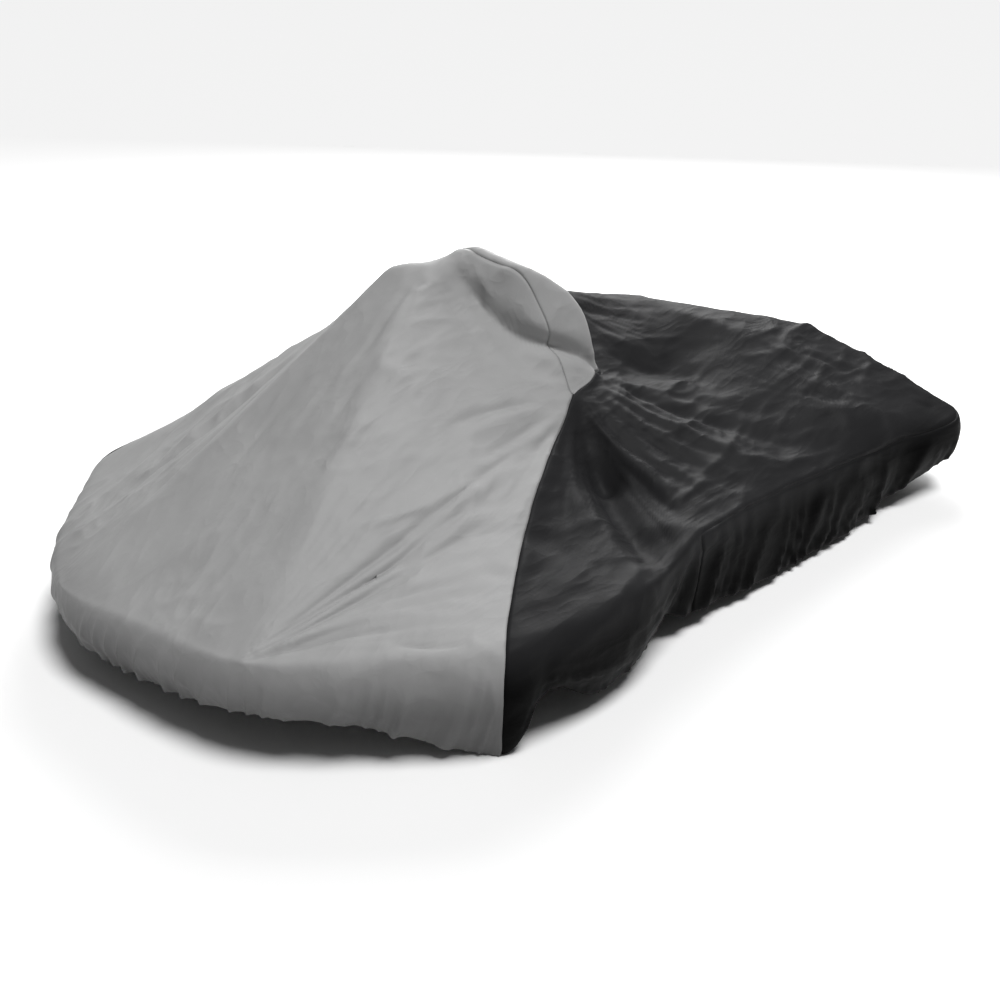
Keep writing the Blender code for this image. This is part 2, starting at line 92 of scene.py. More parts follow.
# Where it is propped in the middle or on one side only, or hangs lowest between props: name: (x, y, z)
singleProps = {
    "numberPanelRight": (-0.090, -0.240, panelTop),
    "numberPanelLeft": (-0.020, -0.205, panelTop),
    "wheelTop": (0.000, -0.130, wheelTop),
    "wheelLeftUpper": (0.110, -0.075, wheelTop - 0.030),
    "wheelLeft": (0.165, 0.060, wheelTop - 0.130),
    "wheelRightUpper": (-0.100, -0.070, wheelTop - 0.080),
    "wheelRight": (-0.165, 0.055, wheelTop - 0.180),
    "wheelBack": (0.000, 0.140, wheelTop - 0.140),
    "seatTop": (0.000, rearAxle - 0.100, seatTop),
    "seatShoulder": (0.225, rearAxle + 0.010, seatTop - 0.060),
    "tailShoulder": (0.300, tail - 0.140, seatTop - 0.100),
    "engineTop": (-0.280, rearAxle - 0.090, seatTop - 0.070),
    "tailHip": (-0.300, tail - 0.150, seatTop - 0.170),
    "fenderRightHigh": (-0.235, -0.275, panelTop - 0.145),
    "fenderRightMid": (-0.400, -0.350, panelTop - 0.275),
    "fenderRightLow": (0.090 - halfFront, frontAxle, tyreTop - 0.010),
    "frontTyreLeft": (halfFront - 0.210, frontAxle + 0.100, tyreTop),
    "frontTyreRight": (0.170 - halfFront, frontAxle + 0.080, tyreTop + 0.040),
    "hollowLeft": (0.380, -0.110, rim + 0.010),
    "hollowRight": (-0.400, -0.110, rim + 0.020),
}

# One side of the edge, where the top turns down, from the front seam to the tail:
# name: (x, y, z of the edge, z of the hem, how far the hem is drawn in, how far the wall bellies out)
sideEdge = {
    "seam": (halfFront - 0.040, frontAxle - 0.200, rim + 0.010, hem - 0.040, 0.010, 0.010),
    "frontNotch": (halfFront - 0.015, frontAxle - 0.110, rim + 0.010, hem + 0.025, 0.000, 0.008),
    "frontWheel": (halfFront, frontAxle + 0.020, rim + 0.005, hem - 0.015, 0.010, 0.015),
    "frontEnd": (halfFront + 0.005, frontAxle + 0.160, rim, hem + 0.010, 0.015, 0.008),
    "gap": (halfPod + 0.015, frontAxle + 0.275, rim, hem + 0.035, 0.020, 0.004),
    "skirt": (halfPod, frontAxle + 0.370, rim + 0.010, hem, 0.000, 0.006),
    "pod": (halfPod, rearAxle - 0.390, rim, hem - 0.020, -0.016, 0.010),
    "rearWheel": (halfRear - 0.010, rearAxle - 0.090, rim - 0.020, hem - 0.025, -0.016, 0.014),
    "rearWheelEnd": (halfRear, rearAxle + 0.100, rim - 0.035, hem - 0.015, -0.008, 0.014),
    "tail": (halfRear + 0.010, tail - 0.030, rim - 0.020, hem + 0.025, 0.006, 0.008),
}

# Where the right side differs: its seam ends further back, and the cloth hangs lower over its front tyre
rightEdge = {
    "frontWheel": (halfFront, frontAxle, rim - 0.010, hem - 0.025, 0.010, 0.015),
    "seam": (halfFront - 0.040, frontAxle - 0.155, rim - 0.020, hem - 0.015, 0.010, 0.010),
}

# The middle of the tail, and the nose from right to left, in the same columns
tailEdge = {"tail": (0.000, tail, rim, hem + 0.020, 0.020, 0.010)}
noseEdge = {
    "noseBendRight": (-0.425, nose + 0.130, rim - 0.045, hem + 0.030, 0.015, 0.015),
    "noseRight": (-0.220, nose, rim - 0.045, hem + 0.025, 0.008, 0.012),
    "nose": (0.030, nose - 0.010, rim - 0.025, hem + 0.015, 0.010, 0.015),
    "noseLeft": (0.280, nose + 0.010, rim - 0.010, hem + 0.045, 0.012, 0.005),
    "noseBendLeft": (0.440, nose + 0.130, rim, hem + 0.025, 0.015, 0.010),
}


def mirrored(place):
    # the same place on the other side: x turns over
    return (-place[0], *place[1:])


def allProps():
    # the single props, and each paired prop with its mirror image
    places = dict(singleProps)
    for name, place in pairedProps.items():
        places[name + "Left"], places[name + "Right"] = place, mirrored(place)
    return places


def allEdge():
    # the whole edge, anticlockwise from the left end of the front seam
    rows = {name + "Left": row for name, row in sideEdge.items()}
    rows.update(tailEdge)
    for name, row in reversed(sideEdge.items()):
        if name != "frontNotch":
            rows[name + "Right"] = mirrored(rightEdge.get(name, row))
    rows.update(noseEdge)
    return rows


props, edgeRows = allProps(), allEdge()

# Where the hem is caught up higher than on the solids: name: how much
caughtUp = {"frontNotchLeft": 0.040, "frontWheelLeft": 0.012, "tailLeft": 0.034, "rearWheelEndLeft": 0.012}
for place, height in caughtUp.items():
    row = edgeRows[place]
    edgeRows[place] = (*row[:3], row[3] + height, *row[4:])

# Tight lines and valleys of the cloth: (from, to, sag at the middle)
tightLines = [
    ("numberPanelRight", "numberPanelLeft", 0.0),
    ("numberPanelLeft", "wheelTop", 0.004),
    ("wheelTop", "wheelLeftUpper", -0.008),
    ("wheelLeftUpper", "wheelLeft", -0.012),
    ("wheelLeft", "wheelLowLeft", -0.010),
    ("wheelTop", "wheelRightUpper", -0.008),
    ("wheelRightUpper", "wheelRight", -0.010),
    ("wheelRight", "wheelLowRight", -0.010),
    ("wheelTop", "wheelBack", -0.010),
    ("wheelBack", "wheelLowLeft", 0.020),
    ("wheelBack", "wheelLowRight", 0.020),
    ("wheelBack", "seatTop", 0.004),
    ("wheelLowLeft", "hipLeft", 0.0),
    ("wheelLowRight", "hipRight", 0.0),
    ("numberPanelLeft", "hipLeft", 0.020),
    ("numberPanelRight", "hipRight", 0.020),
    ("seatTop", "seatShoulder", 0.0),
    ("seatTop", "tailShoulder", 0.0),
    ("seatShoulder", "tailShoulder", 0.004),
    ("seatTop", "engineTop", 0.0),
    ("engineTop", "tailHip", 0.0),
    ("tailShoulder", "tailHip", 0.010),
    ("tailShoulder", "tailLeft", 0.0),
    ("tailHip", "tailRight", 0.0),
    ("tailShoulder", "rearTyreLeft", 0.010),
    ("seatShoulder", "rearTyreLeft", 0.010),
    ("wheelLowLeft", "rearTyreLeft", 0.025),
    ("wheelLowRight", "rearTyreRight", 0.025),
    ("engineTop", "rearTyreRight", 0.010),
    ("engineTop", "wheelLowRight", 0.030),
    ("seatShoulder", "wheelLowLeft", 0.045),
    ("rearTyreLeft", "rearWheelEndLeft", 0.0),
    ("rearTyreLeft", "tailLeft", 0.012),
    ("rearTyreRight", "tailRight", 0.012),
    ("hipLeft", "skirtLeft", 0.030),
    ("hipRight", "skirtRight", 0.030),
    ("hipLeft", "hollowLeft", 0.010),
    ("hipRight", "hollowRight", 0.010),
    ("hipLeft", "frontTyreLeft", 0.010),
    ("hipRight", "frontTyreRight", 0.010),
    ("frontTyreLeft", "frontEndLeft", 0.0),
    ("frontTyreLeft", "seamLeft", 0.0),
    ("frontTyreRight", "fenderRightLow", 0.0),
    ("hipLeft", "seamLeft", 0.010),
    ("numberPanelLeft", "noseLeft", 0.006),
    ("numberPanelRight", "noseRight", 0.006),
    ("numberPanelRight", "fenderRightHigh", 0.0),
    ("fenderRightHigh", "fenderRightMid", 0.006),
    ("fenderRightMid", "fenderRightLow", 0.004),
    ("fenderRightLow", "seamRight", 0.0),
]


# Main folds of the top: (start x, start y, end x, end y, rise or depth, half-width)
mainFolds = [
    (-0.005, -0.180, 0.235, 0.040, -0.008, 0.028),
    (0.235, -0.030, 0.570, 0.080, -0.010, 0.042),
    (0.235, 0.040, 0.610, 0.240, 0.010, 0.045),
    (0.250, 0.110, 0.610, 0.430, -0.009, 0.045),
    (0.240, -0.080, 0.640, -0.280, -0.030, 0.050),
    (0.230, -0.880, 0.230, -0.300, -0.008, 0.045),
    (0.300, -0.930, 0.400, -0.350, -0.010, 0.042),
    (-0.380, -0.820, -0.180, -0.320, -0.010, 0.042),
    (0.100, 0.330, 0.360, 0.350, -0.010, 0.040),
    (-0.010, -0.170, -0.240, 0.040, -0.012, 0.040),
    (-0.235, -0.020, -0.560, 0.080, -0.010, 0.042),
    (-0.235, 0.050, -0.600, 0.240, 0.008, 0.045),
    (-0.245, 0.110, -0.600, 0.420, -0.009, 0.045),
    (-0.240, -0.080, -0.640, -0.280, -0.026, 0.055),
]


# Left half of the plan of the two seams, from where they meet at the hip to the middle: (x, y)
halfSeams = {
    "front": [(0.230, -0.050), (0.170, -0.035), (0.110, -0.070), (0.050, -0.110), (0.000, -0.130)],
    "rear": [(0.230, -0.050), (0.200, 0.080), (0.180, 0.105), (0.110, 0.135), (0.050, 0.165), (0.000, 0.175)],
}
seams = {name: half + [mirrored(place) for place in half[-2::-1]] for name, half in halfSeams.items()}

# Gathers of the elastic hem: length of one, its height, how sharp its valley is, how fast it grows downwards
hemGathers = {
    "slant": 0.35,
    "patches": {"mean": 0.55, "change": 0.6, "most": 1.3, "waves": 7},    # they are stronger here and there
    "rows": [
        {"length": 0.120, "height": 0.0060, "sharpness": 0.7, "grows": 1.0, "wander": 0.35, "seed": 3},
        {"length": 0.050, "height": 0.0060, "sharpness": 0.6, "grows": 0.9, "wander": 0.45, "seed": 5},
        {"length": 0.021, "height": 0.0024, "sharpness": 0.7, "grows": 2.5, "wander": 0.40, "seed": 8},
    ],
}

# Folds given in bundles between two stretches: a stretch lies between two named places, or is one.
# Reach is the part of the way that the folds cover, bow bends them, as a share of their length, and rise is
# negative for a valley. Of the rest, "turned" turns every second fold over, "full" is where along it a fold
# is deepest, "spread" is how it widens, "lean" how much wider its one side is, "round" how blunt it is, and
# "both" lays the mirror image too.
foldColumns = ("from", "to", "count", "reach", "bow", "rise", "width")
foldBundles = {
    "brimValley": (("numberPanelLeft", "wheelTop"), "wheelLowLeft", 1, (0.02, 1.04), 0.21, -0.034, 0.008,
        {"round": 0.7, "full": 0.62}),
    "brimRidge": (("numberPanelLeft", "wheelTop"), ("hipLeft", "wheelLowLeft"), 1, (0.04, 0.92), 0.35,
        0.008, 0.010, {"full": 0.5}),
    "brimTuck": ("numberPanelLeft", "hipLeft", 1, (0.02, 0.80), 0.20, -0.008, 0.009, {"full": 0.35}),
    "brimRoll": ("wheelTop", "wheelLowLeft", 1, (0.15, 0.92), -0.04, 0.005, 0.010, {"full": 0.65}),
    "panelTop": ("numberPanelRight", "wheelTop", 1, (-0.15, 1.00), 0.00, 0.008, 0.022, {"round": 1.0}),
    "panelCreases": (("numberPanelRight", "numberPanelLeft"), ("noseLeft", "noseBendLeft"), 3, (0.02, 0.14),
        0.00, -0.009, 0.006, {"full": 0.25, "turned": 0.6}),
    "noseFan": ("noseLeft", ("hipLeft", "frontTyreLeft"), 6, (-0.04, 0.93), 0.05, -0.010, 0.006,
        {"lean": 0.4, "full": 0.4, "spread": 1.4, "turned": -0.6}),
    "noseSideFan": ("noseLeft", ("frontTyreLeft", "seamLeft"), 5, (-0.04, 0.75), -0.05, -0.009, 0.006,
        {"lean": -0.3, "full": 0.35, "spread": 0.7, "turned": -0.6}),
    "hipToNose": ("hipLeft", ("nose", "noseBendLeft"), 5, (0.04, 0.42), -0.04, -0.009, 0.007,
        {"full": 0.3, "spread": 0.6, "turned": -0.6}),
    "wheelToNose": (("numberPanelRight", "wheelLeftUpper"), ("noseRight", "noseLeft"), 5, (0.34, 0.72),
        0.03, 0.006, 0.010, {"turned": -0.8}),
    "cornerTucks": (("noseBendLeft", "frontTyreLeft"), ("seamLeft", "frontTyreLeft"), 4, (0.05, 0.75), 0.06,
        -0.007, 0.006, {"full": 0.6, "turned": -0.5}),
    "fenderFolds": (("numberPanelRight", "fenderRightHigh"), ("noseRight", "noseBendRight"), 4,
        (0.12, 0.90), 0.04, -0.007, 0.008, {"turned": -0.6}),
    "farRidge": ("fenderRightHigh", "seamRight", 1, (0.00, 1.10), 0.03, 0.024, 0.045,
        {"round": 1.0, "full": 0.72}),
    "farHollow": ("hipRight", ("frontWheelRight", "frontEndRight"), 1, (0.15, 1.08), 0.00, -0.036, 0.050,
        {"round": 1.0, "full": 0.75}),
    "hipFan": (("hipLeft", "wheelLowLeft"), ("skirtLeft", "rearWheelLeft"), 11, (0.02, 0.93), 0.03, -0.012,
        0.012, {"lean": 0.3, "full": 0.3, "spread": 0.8, "turned": -0.7, "both": True}),
    "gapFan": ("hipLeft", ("gapLeft", "skirtLeft"), 5, (0.08, 0.96), -0.05, -0.014, 0.012,
        {"full": 0.55, "spread": 0.5, "turned": -0.7, "both": True}),
    "hollow": (("hipLeft", "hollowLeft"), ("frontEndLeft", "gapLeft"), 1, (0.02, 0.98), 0.02, -0.014, 0.024,
        {"round": 1.0, "full": 0.6, "both": True}),
    "tyreFan": ("hipLeft", ("frontWheelLeft", "frontEndLeft"), 6, (0.05, 0.85), 0.06, -0.010, 0.011,
        {"full": 0.45, "spread": 0.6, "turned": -0.7, "both": True}),
    "seatFolds": (("wheelBack", "wheelLowLeft"), ("seatTop", "rearTyreLeft"), 5, (0.10, 0.85), 0.05, -0.008,
        0.013, {"full": 0.4, "spread": 0.6, "turned": -0.7}),
    "shoulderFolds": ("seatShoulder", ("rearTyreLeft", "tailLeft"), 4, (0.08, 0.80), -0.04, -0.006, 0.016,
        {"turned": -0.7}),
    "tyreTopFan": ("rearTyreLeft", ("podLeft", "seatShoulder"), 6, (0.16, 0.60), 0.05, -0.005, 0.015,
        {"full": 0.35, "turned": -0.6, "both": True}),
    "tailFan": ("tailLeft", ("rearTyreLeft", "tailShoulder"), 6, (0.12, 0.55), 0.04, -0.005, 0.014,
        {"full": 0.35, "turned": -0.7}),
    "engineFolds": (("engineTop", "seatTop"), ("rearTyreRight", "tailHip"), 5, (0.08, 0.90), 0.04, -0.007,
        0.014, {"turned": -0.7}),
}

# How unevenly a bundle's folds are laid: shift of each, most cut off its two ends, wander, and its size
foldChance = {"shift": 0.5, "cut": (0.10, -0.18), "wander": 0.02, "least": 0.75, "more": 0.5, "steps": 25}

# Tension wrinkles that fan out from a named place: direction and half angle in degrees, waves in each radian
fanColumns = ("from", "towards", "half", "reach", "full", "waves", "change", "height")
fans = [
    ("noseLeft", 75, 42, 0.75, 0.35, 10, 0.35, 0.0060),
    ("hipLeft", 12, 42, 0.48, 0.35, 12, 0.30, 0.0040),
    ("hipLeft", -50, 36, 0.60, 0.40, 9, 0.25, 0.0040),
    ("numberPanelLeft", -80, 50, 0.45, 0.25, 6, 0.25, 0.0040),
    ("rearTyreLeft", 200, 60, 0.35, 0.25, 7, 0.20, 0.0050),
    ("hipRight", 170, 42, 0.50, 0.35, 11, 0.30, 0.0040),
    ("hipRight", 235, 36, 0.60, 0.40, 9, 0.25, 0.0040),
    ("wheelBack", 80, 60, 0.45, 0.30, 6, 0.20, 0.0045),
    ("rearTyreRight", -20, 60, 0.35, 0.25, 7, 0.20, 0.0050),
]

# How the rim is rounded, within a reach of it, and how much in boxes: (x from, x to, y from, y to, share)
rimRounding = {
    "reach": 0.035, "strength": 0.9, "passes": 26,
    "boxes": [
        (-0.75, 0.25, -1.10, -0.86, 0.06),
        (0.25, 0.75, -1.10, -0.20, 0.22),
        (-0.75, -0.25, -1.10, -0.20, 0.25),
        (-0.75, 0.75, -0.20, 0.75, 0.08),
        (-0.75, 0.75, 0.75, 1.10, 0.30),
    ],
}

# Small crumples all over, longer the way the cloth is pulled: warped space, then (size, height, sharpness)
crumple = {"warpSize": 0.11, "warp": 0.030, "patchSize": 0.22, "pulled": (1.0, 0.40, 0.70),
           "patches": {"mean": 0.6, "change": 1.8, "least": 0.15, "most": 1.4},
           "sizes": [(0.110, 0.0062, 3.0), (0.052, 0.0027, 3.2), (0.030, 0.0010, 3.2)]}


def smoothLoop():
    # closed edge: p(t) = (2t^3-3t^2+1)a + (t^3-2t^2+t)a' + (3t^2-2t^3)b + (t^3-t^2)b',
    # with each slope half the way between its neighbours
    rows = np.array(list(edgeRows.values()))
    slope = 0.5 * (np.roll(rows, -1, axis=0) - np.roll(rows, 1, axis=0))
    t = np.linspace(0.0, 1.0, coverForm["edgeSteps"], endpoint=False)[None, :, None]
    here, there = rows[:, None], np.roll(rows, -1, axis=0)[:, None]
    curve = ((2 * t**3 - 3 * t**2 + 1) * here + (t**3 - 2 * t**2 + t) * slope[:, None]
             + (3 * t**2 - 2 * t**3) * there + (t**3 - t**2) * np.roll(slope, -1, axis=0)[:, None])
    return curve.reshape(-1, rows.shape[1])


def evenly(curve, count):
    # count + 1 points at equal steps of plan length along a curve
    length = np.concatenate([[0.0], np.cumsum(np.linalg.norm(np.diff(curve[:, :2], axis=0), axis=1))])
    wanted = np.linspace(0.0, length[-1], count + 1)
    return np.stack([np.interp(wanted, length, column) for column in curve.T], axis=1)


def edgeRun(loop, first, last, count):
    # the stretch of the closed edge between two named rows, anticlockwise
    names = list(edgeRows)
    start, stop = names.index(first) * coverForm["edgeSteps"], names.index(last) * coverForm["edgeSteps"]
    if stop <= start:
        stop += len(loop)
    return evenly(loop[np.arange(start, stop + 1) % len(loop)], count)


def neighbourMean(heights):
    # mean of each cell's four neighbours
    padded = np.pad(heights, 1, mode="edge")
    return 0.25 * (padded[2:, 1:-1] + padded[:-2, 1:-1] + padded[1:-1, 2:] + padded[1:-1, :-2])


def foldBell(x, y, x0, y0, x1, y1, width):
    # ridge of height one along a line: exp(-(off/width)^2) across it, sin(pi t)^0.7 along it
    length = np.hypot(x1 - x0, y1 - y0)
    t = ((x - x0) * (x1 - x0) + (y - y0) * (y1 - y0)) / length**2
    off = ((x - x0) * (y1 - y0) - (y - y0) * (x1 - x0)) / length
    return np.exp(-(off / width) ** 2) * np.sin(np.pi * np.clip(t, 0.0, 1.0)) ** 0.7


def heightMap(loop):
    # a membrane over the tight lines: every free cell settles to the mean of its four neighbours
    places = {**props, **{name: row[:3] for name, row in edgeRows.items()}}
    tight = [loop[:, :3]]
    for first, last, sag in tightLines:
        t = np.linspace(0.0, 1.0, 800)[:, None]
        line = np.array(places[first]) * (1 - t) + np.array(places[last]) * t
        line[:, 2:] -= 4 * sag * t * (1 - t)
        tight.append(line)
    tight = np.concatenate(tight)
    low, high = tight[:, :2].min(axis=0) - 0.06, tight[:, :2].max(axis=0) + 0.06
    heights = None
    for level, passes in zip((8, 4, 2, 1), coverForm["relax"]):
        cell = coverForm["cell"] * level
        shape = np.ceil((high - low) / cell).astype(int) + 1
        at = np.rint((tight[:, :2] - low) / cell).astype(int)
        total, count = np.zeros(shape), np.zeros(shape)
        np.add.at(total, (at[:, 0], at[:, 1]), tight[:, 2])
        np.add.at(count, (at[:, 0], at[:, 1]), 1)
        target = total / np.maximum(count, 1)
        if heights is None:
            heights = np.full(shape, tight[:, 2].mean())
        else:
            x = np.clip(np.arange(shape[0]) // 2, 0, heights.shape[0] - 1)
            y = np.clip(np.arange(shape[1]) // 2, 0, heights.shape[1] - 1)
            heights = heights[np.ix_(x, y)]
        for _ in range(passes):
            heights = np.where(count > 0, target, neighbourMean(heights))
    for _ in range(coverForm["rounding"]):
        heights = 0.5 * heights + 0.5 * neighbourMean(heights)
    x, y = low[:, None, None] + coverForm["cell"] * np.indices(heights.shape)
    for x0, y0, x1, y1, rise, width in mainFolds:
        heights = heights + rise * foldBell(x, y, x0, y0, x1, y1, width)
    return low, heights


def heightAt(field, xy):
    # height map read between its cells: z = sum of the four corners times (1-u)(1-v), u(1-v), (1-u)v, uv
    low, heights = field
    at = (xy - low) / coverForm["cell"]
    i = np.clip(np.floor(at).astype(int), 0, np.array(heights.shape) - 2)
    a, b = i[..., 0], i[..., 1]
    u, v = (at - i)[..., 0], (at - i)[..., 1]
    return ((1 - u) * (1 - v) * heights[a, b] + u * (1 - v) * heights[a + 1, b]
            + (1 - u) * v * heights[a, b + 1] + u * v * heights[a + 1, b + 1])


def fillPatch(front, back, left, right):
    # Coons patch between four plan curves: ruled(front, back) + ruled(left, right) - bilinear(corners)
    front, back, left, right = (curve[:, :2] for curve in (front, back, left, right))
    v = np.linspace(0.0, 1.0, len(left))[:, None, None]
    u = np.linspace(0.0, 1.0, len(front))[None, :, None]
    ruled = (1 - v) * front[None] + v * back[None] + (1 - u) * left[:, None] + u * right[:, None]
    return ruled - ((1 - u) * (1 - v) * front[0] + u * (1 - v) * front[-1]
                    + (1 - u) * v * back[0] + u * v * back[-1])


def density(xy):
    # how fine the cells should be at a place: 1 + sum of bells
    total = np.ones(xy.shape[:-1])
    for place, reach, much in coverForm["dense"]:
        total += much * np.exp(-((xy - np.array(place)) ** 2).sum(axis=-1) / reach**2)
    return total


def evenCells(plan, field):
    # elliptic smoothing on the surface: a*Puu - 2b*Puv + c*Pvv = 0, where longer and denser cells pull more
    plan = plan.copy()
    for _ in range(coverForm["planPasses"]):
        p = np.concatenate([plan, heightAt(field, plan)[..., None]], axis=2)
        across, down = 0.5 * (p[1:-1, 2:] - p[1:-1, :-2]), 0.5 * (p[2:, 1:-1] - p[:-2, 1:-1])
        skew = 0.25 * (plan[2:, 2:] - plan[2:, :-2] - plan[:-2, 2:] + plan[:-2, :-2])
        a, c = (down**2).sum(axis=2, keepdims=True), (across**2).sum(axis=2, keepdims=True)
        b = (across * down).sum(axis=2, keepdims=True)
        fine = density(plan)
        pull = [np.linalg.norm(np.diff(p, axis=k), axis=2) * (fine.take(range(1, fine.shape[k]), k)
                + fine.take(range(fine.shape[k] - 1), k))
                / np.maximum(np.linalg.norm(np.diff(plan, axis=k), axis=2), 1e-9) for k in (0, 1)]
        south, north = pull[0][:-1, 1:-1, None], pull[0][1:, 1:-1, None]
        west, east = pull[1][1:-1, :-1, None], pull[1][1:-1, 1:, None]
        sides = (2 * a * (east * plan[1:-1, 2:] + west * plan[1:-1, :-2]) / (east + west)
                 + 2 * c * (north * plan[2:, 1:-1] + south * plan[:-2, 1:-1]) / (north + south))
        plan[1:-1, 1:-1] += 0.7 * ((sides - 2 * b * skew) / (2 * (a + c)) - plan[1:-1, 1:-1])
    return plan


def cubicWeights(coarse, fine):
    # matrix that reads a coarse row at fine even steps: Catmull-Rom weights of the four points around each
    at = np.linspace(0.0, coarse - 1.0, fine)
    i = np.minimum(at.astype(int), coarse - 2)
    f = at - i
    weights = np.zeros((fine, coarse))
    shares = (-0.5 * f + f**2 - 0.5 * f**3, 1 - 2.5 * f**2 + 1.5 * f**3, 0.5 * f + 2 * f**2 - 1.5 * f**3,
              -0.5 * f**2 + 0.5 * f**3)
    for step, share in zip((-1, 0, 1, 2), shares):
        np.add.at(weights, (np.arange(fine), np.clip(i + step, 0, coarse - 1)), share)
    return weights


def finePatch(coarseCurves, fineCurves, field):
    # the Coons patch of the fine curves, moved as evenCells moves the coarse one
    coarse = fillPatch(*coarseCurves)
    moved = evenCells(coarse, field) - coarse
    fine = fillPatch(*fineCurves)
    rows, columns = fine.shape[:2]
    moved = np.einsum("ai,ijk->ajk", cubicWeights(moved.shape[0], rows), moved)
    return fine + np.einsum("bj,ajk->abk", cubicWeights(moved.shape[1], columns), moved)


def roundPlan(points):
    # rounded curve through plan points: corners are cut at a quarter of each side, three times
    points = np.asarray(points, float)
    for _ in range(3):
        here, there = points[:-1], points[1:]
        cut = np.stack([0.75 * here + 0.25 * there, 0.25 * here + 0.75 * there], axis=1)
        points = np.concatenate([points[:1], cut.reshape(-1, 2), points[-1:]])
    return points


def alongSurface(curve, count, field):
    # count + 1 plan points along a curve, even on the surface and closer together where cells are denser
    fine = evenly(curve, 600)
    p = np.concatenate([fine, heightAt(field, fine)[:, None]], axis=1)
    weight = density(fine)
    length = np.linalg.norm(np.diff(p, axis=0), axis=1) * 0.5 * (weight[1:] + weight[:-1])
    length = np.concatenate([[0.0], np.cumsum(length)])
    wanted = np.linspace(0.0, length[-1], count + 1)
    return np.stack([np.interp(wanted, length, column) for column in fine.T], axis=1)


def sideColumns(across):
    # columns of each side part, outside the hips
    return int(round(across * (1 - coverForm["middleShare"]) / 2))


def seamPlan(leftEnd, middle, rightEnd, across, field):
    # a seam's plan points: a side, the stretch between the hips, the other side
    side = sideColumns(across)
    way = np.array(middle[0]) - leftEnd
    bowed = 0.5 * (leftEnd + middle[0]) + coverForm["seamBow"] * np.array([way[1], -way[0]])
    left = alongSurface(roundPlan([leftEnd, bowed, middle[0]]), side, field)
    right = alongSurface(np.array([middle[-1], rightEnd]), side, field)
    return np.concatenate([left[:-1], alongSurface(roundPlan(middle), across - 2 * side, field), right[1:]])


def panelCurves(loop, finer, field):
    # the edge in even steps, and the four plan curves around each panel, at a given fineness
    across = coverForm["across"] * finer["across"]
    front, rear = coverForm["frontRows"] * finer["front"], coverForm["rearRows"] * finer["rear"]
    skirt = coverForm["skirtRow"] * finer["rear"]
    spans = [("seamLeft", "skirtLeft", skirt), ("skirtLeft", "tailLeft", rear - skirt),
             ("tailLeft", "tailRight", across), ("tailRight", "skirtRight", rear - skirt),
             ("skirtRight", "seamRight", skirt), ("seamRight", "noseRight", front),
             ("noseRight", "noseLeft", across), ("noseLeft", "seamLeft", front)]
    edge = np.concatenate([edgeRun(loop, *span)[:-1] for span in spans])
    starts = np.cumsum([0] + [span[2] for span in spans])

    def columns(first, last):
        # numbers of the edge's points from one span's start to another's, round its end
        return np.arange(starts[first], starts[last] + 1) % len(edge)

    frontSeam = seamPlan(edge[0, :2], seams["front"], edge[starts[5], :2], across, field)
    rearSeam = seamPlan(edge[0, :2], seams["rear"], edge[starts[5], :2], across, field)
    side = sideColumns(across)
    tips = [np.repeat(frontSeam[None, k], coverForm["peakRows"] * finer["peak"] + 1, axis=0)
            for k in (side, across - side)]
    return {
        "edge": edge, "columns": columns,
        "front": (edge[columns(6, 7)[::-1]], frontSeam, edge[columns(7, 8)], edge[columns(5, 6)[::-1]]),
        "peak": (frontSeam[side:-side], rearSeam[side:-side], *tips),
        "rear": (rearSeam, edge[columns(2, 3)], edge[columns(0, 2)], edge[columns(3, 5)[::-1]]),
    }


def layRing(points):
    # plan length along a closed ring of points, and its whole length
    step = np.linalg.norm(np.roll(points[:, :2], -1, axis=0) - points[:, :2], axis=1)
    return np.concatenate([[0.0], np.cumsum(step)[:-1]]), step.sum()


def ringNoise(along, whole, waves, seed):
    # smooth noise around the ring: sum of a few sines of whole waves, with seeded phases and sizes
    random = np.random.RandomState(seed)
    count = 9
    turns = np.rint(waves * (0.5 + random.rand(count))).clip(1)
    size, phase = random.rand(count) + 0.3, random.rand(count) * 2 * np.pi
    wave = np.sin(2 * np.pi * turns[:, None] * along[None] / whole + phase[:, None])
    return (size[:, None] * wave).sum(axis=0) / np.sqrt((size**2).sum())


def hangWall(edge):
    # the wall under the edge: out = belly*sin(pi s) - tuck*s^2 + gathers*s, then a half round lip at the hem
    run = np.roll(edge[:, :2], -1, axis=0) - np.roll(edge[:, :2], 1, axis=0)
    out = np.stack([run[:, 1], -run[:, 0]], axis=1)
    out /= np.linalg.norm(out, axis=1, keepdims=True)
    along, whole = layRing(edge)
    rows = coverForm["wallRows"] * coverForm["finer"]["wall"]
    s = np.linspace(0.0, 1.0, rows + 1)[:, None]
    drop = edge[:, 2] - edge[:, 3]
    push = edge[:, 5] * np.sin(np.pi * s) - edge[:, 4] * s**2
    radius = coverForm["lipRadius"]
    turn = np.linspace(0.0, np.pi, coverForm["lipRows"] + 1)[1:, None]
    push = np.concatenate([push, push[-1:] - radius * (1 - np.cos(turn))])
    z = np.concatenate([edge[:, 2] - s * (drop - radius), edge[:, 3] + radius * (1 - np.sin(turn))])
    level = np.concatenate([s, np.ones_like(turn)])
    slant, patches = hemGathers["slant"] * level * drop, hemGathers["patches"]
    for gather in hemGathers["rows"]:
        waves = whole / gather["length"]
        wander = gather["wander"] * ringNoise(along, whole, waves / 4, gather["seed"])
        turns = (along + slant) * np.rint(waves) / whole + wander
        uneven = ringNoise(along, whole, patches["waves"], gather["seed"] + 50)
        strength = np.clip(patches["mean"] + patches["change"] * uneven, 0.0, patches["most"])
        crest = 1.0 - 2.0 * np.abs(np.sin(np.pi * turns)) ** gather["sharpness"]
        push = push + gather["height"] * crest * strength * level ** gather["grows"]
    xy = edge[None, :, :2] + push[..., None] * out[None]
    return np.concatenate([xy, z[..., None]], axis=2)


